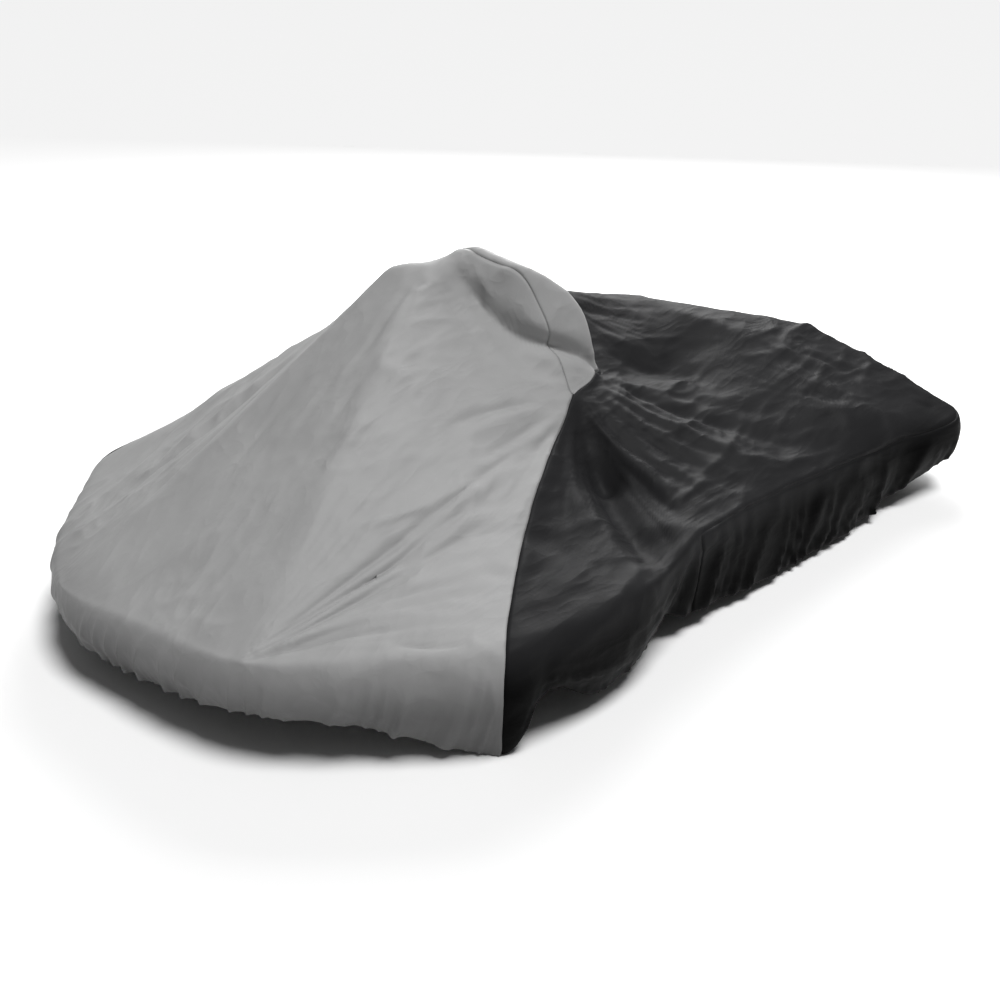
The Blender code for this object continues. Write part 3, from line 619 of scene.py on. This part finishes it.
def lift(field, plan):
    # plan points raised onto the height map
    return np.concatenate([plan, heightAt(field, plan)[..., None]], axis=2)


def coverGrids():
    # every panel's grids of points, all cut from the one surface
    loop = smoothLoop()
    field = heightMap(loop)
    ones = {name: 1 for name in coverForm["finer"]}
    coarse, fine = panelCurves(loop, ones, field), panelCurves(loop, coverForm["finer"], field)
    front, peak, rear = (lift(field, finePatch(coarse[name], fine[name], field))
                         for name in ("front", "peak", "rear"))
    for grid, (_, _, left, right) in ((front, fine["front"]), (rear, fine["rear"])):
        grid[:, 0], grid[:, -1] = left[:, :3], right[:, :3]
    front[0], rear[-1] = fine["front"][0][:, :3], fine["rear"][1][:, :3]
    around, columns = hangWall(fine["edge"]), fine["columns"]
    return field, {
        "frontPanel": [front, around[:, columns(5, 8)]], "peakPanel": [peak],
        "rearPanel": [rear, around[:, columns(0, 1)], around[:, columns(4, 5)]],
        "rearSkirt": [around[:, columns(1, 4)]],
    }


def weld(grids):
    # grids that share points joined: the points, each grid's quads, and each quad corner's place in metres
    points = np.concatenate([grid.reshape(-1, 3) for grid in grids])
    _, first, index = np.unique(np.round(points, 6), axis=0, return_index=True, return_inverse=True)
    index = index.reshape(-1)
    quads, places, start = [], [], 0
    for grid in grids:
        rows, columns = grid.shape[:2]
        ids = index[start:start + rows * columns].reshape(rows, columns)
        start += rows * columns
        down = np.linalg.norm(np.diff(grid, axis=0), axis=2).mean()
        over = np.linalg.norm(np.diff(grid, axis=1), axis=2).mean()
        place = np.stack(np.meshgrid(np.arange(columns) * over, np.arange(rows) * down), axis=2)
        corners = (np.s_[:-1, :-1], np.s_[1:, :-1], np.s_[1:, 1:], np.s_[:-1, 1:])
        quads.append(np.stack([ids[corner] for corner in corners], axis=-1).reshape(-1, 4))
        places.append(np.stack([place[corner] for corner in corners], axis=2).reshape(-1, 4, 2))
    return points[first], quads, places


def pointNormals(points, quads):
    # each point's normal: the sum of its quads' diagonal cross products, made unit length
    a, b, c, d = points[quads].transpose(1, 0, 2)
    face = np.cross(c - a, d - b)
    normals = np.zeros_like(points)
    for corner in range(4):
        np.add.at(normals, quads[:, corner], face)
    return normals / np.maximum(np.linalg.norm(normals, axis=1, keepdims=True), 1e-12)


def otherSide(name):
    # the matching place on the other side of the kart
    for side, other in (("Left", "Right"), ("Right", "Left")):
        if side in name:
            return name.replace(side, other)
    return name


def twoEnds(stretch):
    # the two places of a stretch: a single place is both of them
    return stretch if isinstance(stretch, tuple) else (stretch, stretch)


def layFolds(seed):
    # each fold's plan line: a + t(b-a) + across * length * (bow sin(pi t) + wander sin(2 pi t))
    random = np.random.RandomState(seed)
    places = {name: np.array(place[:2]) for name, place in {**props, **edgeRows}.items()}
    folds = []
    for *row, rest in foldBundles.values():
        bundle = {**dict(zip(foldColumns, row)), **rest}
        ends = [twoEnds(bundle[key]) for key in ("from", "to")]
        sides = [(1.0, *ends)]
        if bundle.get("both"):
            sides.append((-1.0, *(tuple(otherSide(name) for name in end) for end in ends)))
        for hand, start, stop in sides:
            for k in range(bundle["count"]):
                shift = foldChance["shift"] * (random.rand() - 0.5) * (bundle["count"] > 1)
                share = (k + 0.5 + shift) / bundle["count"]
                a = places[start[0]] * (1 - share) + places[start[1]] * share
                b = places[stop[0]] * (1 - share) + places[stop[1]] * share
                cut = (random.rand(2) * foldChance["cut"]) * (bundle["count"] > 1)
                first, last = bundle["reach"][0] + cut[0], bundle["reach"][1] + cut[1]
                t = np.linspace(first, last, foldChance["steps"])[:, None]
                across = hand * np.array([b[1] - a[1], a[0] - b[0]])
                wander = foldChance["wander"] * (random.rand() - 0.5)
                bend = bundle["bow"] * np.sin(np.pi * t) + wander * np.sin(2 * np.pi * t)
                turned = bundle.get("turned", 1.0) if k % 2 else 1.0
                size = 1.0
                if bundle["count"] > 1:
                    size = foldChance["least"] + foldChance["more"] * random.rand()
                line, rise = a + t * (b - a) + across * bend, bundle["rise"] * turned * size
                folds.append({**bundle, "line": line, "rise": rise, "lean": hand * bundle.get("lean", 0.0)})
    print(len(folds), "folds laid")
    return folds


def creaseRise(points, normals, field, creases):
    # sum over creases of rise * exp(round - sqrt((d/width)^2 + round^2)) * fade, d = distance to the crease
    total = np.zeros(len(points))
    for crease in creases:
        line = np.concatenate([crease["line"], heightAt(field, crease["line"])[:, None]], axis=1)
        spread, lean = crease.get("spread", 0.0), crease.get("lean", 0.0)
        width, round_ = crease["width"], crease.get("round", 0.4)
        reach = 6 * width * (1 + abs(spread)) * (1 + abs(lean))
        near = np.all((points > line.min(axis=0) - reach) & (points < line.max(axis=0) + reach), axis=1)
        p, n = points[near], normals[near]
        lengths = np.concatenate([[0.0], np.cumsum(np.linalg.norm(np.diff(line, axis=0), axis=1))])
        best, place, side = np.full(len(p), 1e9), np.zeros(len(p)), np.zeros(len(p))
        for k in range(len(line) - 1):
            way = line[k + 1] - line[k]
            t = np.clip((p - line[k]) @ way / (way @ way), 0.0, 1.0)
            off = p - line[k] - t[:, None] * way
            distance = np.linalg.norm(off, axis=1)
            closer = distance < best
            best = np.where(closer, distance, best)
            place = np.where(closer, (lengths[k] + t * (lengths[k + 1] - lengths[k])) / lengths[-1], place)
            cross = np.einsum("ij,ij->i", np.cross(way / np.linalg.norm(way), n), off)
            side = np.where(closer, cross / np.maximum(distance, 1e-6), side)
        q = best / (width * (1 + spread * place) * (1 + lean * side))
        full = crease.get("full", 0.5)
        fade = np.sin(0.5 * np.pi * np.clip(np.minimum(place / full, (1 - place) / (1 - full)), 0.0, 1.0))
        total[near] += crease["rise"] * np.exp(round_ - np.sqrt(q**2 + round_**2)) * fade ** 0.8
    return total


def gradientNoise(p, seed):
    # gradient noise: lattice gradients blended with 6f^5-15f^4+10f^3
    random = np.random.RandomState(seed)
    gradients = random.normal(size=(256, 3))
    gradients /= np.linalg.norm(gradients, axis=1, keepdims=True)
    shuffle = random.permutation(256)
    i = np.floor(p).astype(int)
    f = p - i
    u = f**3 * (f * (f * 6 - 15) + 10)
    total = np.zeros(len(p))
    for dx in (0, 1):
        for dy in (0, 1):
            for dz in (0, 1):
                cell = shuffle[(i[:, 0] + dx) % 256]
                cell = shuffle[(cell + i[:, 1] + dy) % 256]
                cell = shuffle[(cell + i[:, 2] + dz) % 256]
                corner = np.array([dx, dy, dz])
                share = np.abs(1 - corner - u).prod(axis=1)
                total += share * np.einsum("ij,ij->i", gradients[cell], f - corner)
    return total


def fanRise(points, seed):
    # tension wrinkles: ridged noise over the angle around a prop, slowly changing along the radius
    rise = np.zeros(len(points))
    for number, row in enumerate(fans):
        fan = dict(zip(fanColumns, row))
        off = points[:, :2] - np.array({**props, **edgeRows}[fan["from"]][:2])
        radius, angle = np.hypot(*off.T), np.arctan2(off[:, 1], off[:, 0])
        middle, half = np.radians(fan["towards"]), np.radians(fan["half"])
        turn = (angle - middle + np.pi) % (2 * np.pi) - np.pi
        inside = np.clip(1.3 * (1 - np.abs(turn) / half), 0.0, 1.0)
        t = radius / fan["reach"]
        along = np.clip(t / fan["full"], 0.0, 1.0) * np.clip((1 - t) / (1 - fan["full"]), 0.0, 1.0)
        place = np.stack([turn * fan["waves"], radius / fan["change"], np.full(len(points), 3.7)], axis=1)
        noise = gradientNoise(place, seed + number) + 0.4 * gradientNoise(2.1 * place, seed + number + 20)
        ridge = 1 - np.minimum(2.0 * np.abs(noise), 1.0)
        rise += fan["height"] * inside * np.sqrt(along) * (ridge - 0.4)
    return rise


def soften(points, quads, weight, passes):
    # each point moves towards the mean of its neighbours, by its own weight
    ends = np.concatenate([quads, np.roll(quads, -1, axis=1)], axis=0).reshape(2, -1)
    a, b = np.concatenate([ends[0], ends[1]]), np.concatenate([ends[1], ends[0]])
    count = np.bincount(a, minlength=len(points))
    for _ in range(passes):
        total = np.stack([np.bincount(a, points[b, k], len(points)) for k in range(3)], axis=1)
        points = points + weight[:, None] * (total / count[:, None] - points)
    return points


def crumpleRise(points, seed):
    # crumple: sharp ridges 1-|noise| in warped space, at a few sizes, stronger in uneven patches
    rise = np.zeros(len(points))
    points = points * np.array(crumple["pulled"])
    warp = np.stack([gradientNoise(points / crumple["warpSize"], seed + k) for k in range(3)], axis=1)
    for size, height, sharp in crumple["sizes"]:
        noise = gradientNoise((points + crumple["warp"] * warp) / size, seed + 7 + int(size * 1000))
        rise += height * (1 - np.minimum(np.abs(noise) * sharp, 1.0)) ** 2
    patches = crumple["patches"]
    uneven = patches["mean"] + patches["change"] * gradientNoise(points / crumple["patchSize"], seed + 90)
    return rise * np.clip(uneven, patches["least"], patches["most"])


def meshPiece(name, points, quads, places, material):
    # one panel as its own mesh, with a UV map in metres along the cloth and its real thickness
    used, index = np.unique(quads.reshape(-1), return_inverse=True)
    mesh = bpy.data.meshes.new(name)
    corners = index.reshape(-1, 4)
    distinct = np.array([len(set(quad)) for quad in corners.tolist()])
    loops = [list(dict.fromkeys(quad)) for quad in corners[distinct >= 3].tolist()]
    mesh.from_pydata(points[used].tolist(), [], loops)
    cloth = mesh.uv_layers.new(name="cloth")
    kept = [[quad.index(vertex) for vertex in loop]
            for quad, loop in zip(corners[distinct >= 3].tolist(), loops)]
    uv = np.concatenate([place[order] for place, order in zip(places[distinct >= 3], kept)])
    cloth.data.foreach_set("uv", uv.ravel())
    mesh.materials.append(material)
    mesh.polygons.foreach_set("use_smooth", np.ones(len(mesh.polygons), bool))
    mesh.update()
    piece = bpy.data.objects.new(name, mesh)
    bpy.context.scene.collection.objects.link(piece)
    thickness = piece.modifiers.new("cloth thickness", "SOLIDIFY")
    thickness.thickness = coverForm["sheet"]
    thickness.offset = -1.0
    thickness.use_even_offset = False
    print(name, len(mesh.vertices), "vertices,", len(mesh.polygons), "faces")
    return piece


def toLinear(hexColour):
    # sRGB hex value to linear: c/12.92 below 0.04045, else ((c+0.055)/1.055)^2.4
    parts = [int(hexColour[k:k + 2], 16) / 255 for k in (1, 3, 5)]
    return tuple(c / 12.92 if c <= 0.04045 else ((c + 0.055) / 1.055) ** 2.4 for c in parts) + (1.0,)


def addNode(tree, kind, values=None, links=None, **settings):
    # a node with its settings, its sockets' values and the sockets that feed it
    node = tree.nodes.new(kind)
    for name, value in settings.items():
        setattr(node, name, value)
    for name, value in (values or {}).items():
        node.inputs[name].default_value = value
    for name, source in (links or {}).items():
        tree.links.new(source, node.inputs[name])
    return node


# What both cloths share. The weave is about three times too coarse, and still too fine to show in the view.
clothLook = {
    "thread": 0.0012,                    # from one thread to the next
    "patches": (0.93, 1.05),             # faint darker and lighter patches, as shares of the colour
    "pulled": {"Rotation": (0.0, 0.0, 0.35), "Scale": (1.0, 0.28, 0.7)},    # creases run lengthwise
    "creases": {"Scale": 13.0, "Detail": 2.0, "Roughness": 0.55, "Lacunarity": 2.1, "Distortion": 0.25,
                "Offset": 1.0, "Gain": 1.6},
    "rumples": {"Scale": 55.0, "Detail": 4.0, "Distortion": 0.8},
    "broad": {"Scale": 5.0, "Detail": 3.0, "Roughness": 0.6},
    "bumps": {"rumples": {"Strength": 0.25, "Distance": 0.0012},
              "creases": {"Strength": 0.40, "Distance": 0.0045},
              "weave": {"Strength": 0.10, "Distance": 0.0003}},
}


def wovenPolyester(name, hexColour, roughness, specular, sheen, paintedHemShade):
    # PU-coated woven polyester: plain weave, washed and calendered, so satin with fine handling creases.
    # colour = cloth * patches * painted shade that darkens it towards the hem (by height); bump = rumples,
    # then creases, then warp * weft
    bumps = clothLook["bumps"]
    material = bpy.data.materials.new(name)
    material.use_nodes = True
    tree = material.node_tree
    tree.nodes.clear()
    place = addNode(tree, "ShaderNodeTexCoord").outputs["Object"]
    threads = addNode(tree, "ShaderNodeUVMap", uv_map="cloth").outputs["UV"]
    broad = addNode(tree, "ShaderNodeTexNoise", clothLook["broad"], {"Vector": place})
    colour = toLinear(hexColour)
    shade = addNode(tree, "ShaderNodeValToRGB", links={"Fac": broad.outputs["Fac"]})
    shade.color_ramp.elements[0].position = 0.30
    shade.color_ramp.elements[1].position = 0.70
    for element, share in zip(shade.color_ramp.elements, clothLook["patches"]):
        element.color = tuple(share * c for c in colour[:3]) + (1.0,)
    height = addNode(tree, "ShaderNodeSeparateXYZ", links={"Vector": place})
    # painted shade: the colour is darkened towards the hem by height alone, standing in for the shade the
    # walls hang in
    paintedShadeFactor = addNode(tree, "ShaderNodeMapRange", {"From Min": paintedHemShade["low"], "From Max": paintedHemShade["high"],
                   "To Min": paintedHemShade["dark"], "To Max": 1.0}, {"Value": height.outputs["Z"]},
                   interpolation_type="SMOOTHSTEP")
    paintedShadeColour = addNode(tree, "ShaderNodeVectorMath",
                     links={0: shade.outputs["Color"], "Scale": paintedShadeFactor.outputs["Result"]}, operation="SCALE")
    pulled = addNode(tree, "ShaderNodeMapping", clothLook["pulled"], {"Vector": place})
    creased = addNode(tree, "ShaderNodeTexNoise", clothLook["creases"], {"Vector": pulled.outputs["Vector"]},
                      noise_type="RIDGED_MULTIFRACTAL")
    rumple = addNode(tree, "ShaderNodeTexNoise", clothLook["rumples"], {"Vector": place})
    perThread = 2 * np.pi / 20 / clothLook["thread"]    # a wave of scale 1 has 20 radians to the metre
    warp = addNode(tree, "ShaderNodeTexWave", {"Scale": perThread, "Distortion": 0.2}, {"Vector": threads},
                   bands_direction="X")
    weft = addNode(tree, "ShaderNodeTexWave", {"Scale": perThread, "Distortion": 0.2}, {"Vector": threads},
                   bands_direction="Y")
    weave = addNode(tree, "ShaderNodeMath", links={0: warp.outputs["Fac"], 1: weft.outputs["Fac"]},
                    operation="MULTIPLY")
    bump = addNode(tree, "ShaderNodeBump", bumps["rumples"], {"Height": rumple.outputs["Fac"]})
    bump = addNode(tree, "ShaderNodeBump", bumps["creases"],
                   {"Height": creased.outputs["Fac"], "Normal": bump.outputs["Normal"]})
    bump = addNode(tree, "ShaderNodeBump", bumps["weave"],
                   {"Height": weave.outputs["Value"], "Normal": bump.outputs["Normal"]})
    gloss = addNode(tree, "ShaderNodeMapRange", {"To Min": roughness - 0.05, "To Max": roughness + 0.06},
                    {"Value": broad.outputs["Fac"]})
    shader = addNode(tree, "ShaderNodeBsdfPrincipled",
                     {"Metallic": 0.0, "IOR": 1.5, "Specular IOR Level": specular, "Sheen Weight": sheen,
                      "Sheen Roughness": 0.45},
                     {"Base Color": paintedShadeColour.outputs["Vector"], "Roughness": gloss.outputs["Result"],
                      "Normal": bump.outputs["Normal"]})
    addNode(tree, "ShaderNodeOutputMaterial", links={"Surface": shader.outputs["BSDF"]})
    return material


field, grids = coverGrids()
flatGrids = [grid for panel in grids.values() for grid in panel]
owners = [name for name, panel in grids.items() for _ in panel]
points, quadSets, placeSets = weld(flatGrids)
allQuads = np.concatenate(quadSets)
low, high = points.min(axis=0), points.max(axis=0)
print("surface", len(points), "points")

# The rim where the top turns down is rounded: more at the front, hardly at the skirt's seam
ringWeight = np.zeros(len(points))
for xFrom, xTo, yFrom, yTo, share in rimRounding["boxes"]:
    x, y = points[:, 0], points[:, 1]
    inside = (x > xFrom) & (x < xTo) & (y > yFrom) & (y < yTo)
    ringWeight = np.maximum(ringWeight, share * inside)
rimPoints = smoothLoop()[::4, :3]
distance = np.full(len(points), 1e9)
for k in range(0, len(rimPoints), 50):
    gaps = points[:, None] - rimPoints[None, k:k + 50]
    distance = np.minimum(distance, np.sqrt((gaps**2).sum(axis=2).min(axis=1)))
ringWeight = rimRounding["strength"] * ringWeight * np.exp(-((distance / rimRounding["reach"]) ** 2))
points = soften(points, allQuads, ringWeight, rimRounding["passes"])
print("rim rounded")

seeds, evened = coverForm["seeds"], coverForm["evened"]
normals = pointNormals(points, allQuads)
folds = layFolds(seeds["folds"])
points = points + normals * creaseRise(points, normals, field, folds)[:, None]
# what runs slantwise over the cells is evened out a little, except on the walls
upper = np.clip((points[:, 2] - evened["above"]) / evened["over"], 0.0, 1.0)
points = soften(points, allQuads, evened["strength"] * upper, evened["passes"])
normals = pointNormals(points, allQuads)
rise = fanRise(points, seeds["fans"]) + crumpleRise(points, seeds["crumples"])
points = points + normals * rise[:, None]
print("creased")

# Seams: the points that two panels share sink a little, as where cloth is sewn
panelOf = [np.unique(np.concatenate([quads for owner, quads in zip(owners, quadSets) if owner == name]))
           for name in grids]
shared = np.bincount(np.concatenate(panelOf), minlength=len(points)) > 1
normals = pointNormals(points, allQuads)
points = points - coverForm["seamDepth"] * normals * shared[:, None]

shift = np.array([(cadBox[0].x + cadBox[1].x - low[0] - high[0]) / 2,
                  (cadBox[0].y + cadBox[1].y - low[1] - high[1]) / 2, cadBox[0].z - low[2]])
points = points + shift
points[:, 2] = np.maximum(points[:, 2], cadBox[0].z + coverForm["floorGap"])

# Each panel's node, material slot, cloth, flat size and flat area
panels = {
    "frontPanel": {"node": "front_panel", "slot": "grey_cloth", "cloth": "grey",
                   "flat": (1.55, 1.20), "area": 1.30},
    "peakPanel": {"node": "peak_panel", "slot": "grey_cloth", "cloth": "grey",
                  "flat": (0.62, 0.34), "area": 0.16},
    "rearPanel": {"node": "rear_panel", "slot": "black_cloth", "cloth": "black",
                  "flat": (1.60, 1.65), "area": 2.0},
    "rearSkirt": {"node": "rear_skirt", "slot": "black_cloth", "cloth": "black",
                  "flat": (3.70, 0.17), "area": 0.6},
}
cloths = {
    "grey": wovenPolyester("greyWovenPolyester", "#959595", 0.60, 0.30, 0.05,
                           {"low": 0.08, "high": 0.215, "dark": 0.40}),    # painted shade: the grey walls are made darker towards the hem
    # painted shade: the black walls are made far darker towards the hem
    "black": wovenPolyester("blackWovenPolyester", "#242425", 0.50, 0.040, 0.0,
                            {"low": 0.13, "high": 0.225, "dark": 0.05}),
}
for name, panel in panels.items():
    quads = np.concatenate([quads for owner, quads in zip(owners, quadSets) if owner == name])
    places = np.concatenate([place for owner, place in zip(owners, placeSets) if owner == name])
    piece = meshPiece(name, points, quads, places, cloths[panel["cloth"]])
    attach(piece, "root")
    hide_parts(panel["node"])


def softBox(name, place, aim, size, power):
    # a square soft light, turned towards a point
    lamp = bpy.data.lights.new(name, "AREA")
    lamp.size, lamp.energy = size, power
    holder = bpy.data.objects.new(name, lamp)
    holder.location = place
    holder.rotation_euler = (Vector(aim) - Vector(place)).to_track_quat("-Z", "Y").to_euler()
    bpy.context.scene.collection.objects.link(holder)


studio = {"floor": "#EFEFEF", "floorSize": 60.0, "floorRoughness": 0.9, "sky": 0.12,
          "back": {"place": (-1.6, 2.6, 2.2), "size": 2.4, "power": 150.0},
          "overhead": {"direction": (0.27, 0.05, 0.96), "strength": 3.1, "angle": 24},
          "camera": {"azimuth": 40.9, "elevation": 24.8, "distance": 2.84,
                     "aimFromCentre": (0.202, -0.214, -0.124), "lens": 50.4}}
centre = (cadBox[0] + cadBox[1]) / 2
half = studio["floorSize"] / 2
floorMesh = bpy.data.meshes.new("floor")
corners = [(-half, -half, 0), (half, -half, 0), (half, half, 0), (-half, half, 0)]
floorMesh.from_pydata(corners, [], [(0, 1, 2, 3)])
floor = bpy.data.objects.new("floor", floorMesh)
bpy.context.scene.collection.objects.link(floor)
paper = bpy.data.materials.new("floorPaper")
paper.use_nodes = True
paper.node_tree.nodes["Principled BSDF"].inputs["Base Color"].default_value = toLinear(studio["floor"])
paper.node_tree.nodes["Principled BSDF"].inputs["Roughness"].default_value = studio["floorRoughness"]
floorMesh.materials.append(paper)

world = bpy.data.worlds.new("studio")
world.use_nodes = True
world.node_tree.nodes["Background"].inputs["Color"].default_value = (1.0, 1.0, 1.0, 1.0)
world.node_tree.nodes["Background"].inputs["Strength"].default_value = studio["sky"]
bpy.context.scene.world = world
softBox("back light", studio["back"]["place"], centre, studio["back"]["size"], studio["back"]["power"])
sun = studio["overhead"]
daylight = bpy.data.lights.new("overhead light", "SUN")
daylight.energy, daylight.angle = sun["strength"], np.radians(sun["angle"])
overhead = bpy.data.objects.new("overhead light", daylight)
overhead.rotation_euler = Vector(sun["direction"]).to_track_quat("Z", "Y").to_euler()
bpy.context.scene.collection.objects.link(overhead)

view = studio["camera"]
azimuth, elevation = np.radians(view["azimuth"]), np.radians(view["elevation"])
back = Vector((np.sin(azimuth) * np.cos(elevation), -np.cos(azimuth) * np.cos(elevation), np.sin(elevation)))
lens = bpy.data.cameras.new("camera")
lens.lens = view["lens"]
camera = bpy.data.objects.new("camera", lens)
camera.location = centre + Vector(view["aimFromCentre"]) + view["distance"] * back
camera.rotation_euler = back.to_track_quat("Z", "Y").to_euler()
bpy.context.scene.collection.objects.link(camera)
bpy.context.scene.camera = camera
bpy.context.scene.view_settings.view_transform = "Standard"
print("studio made")
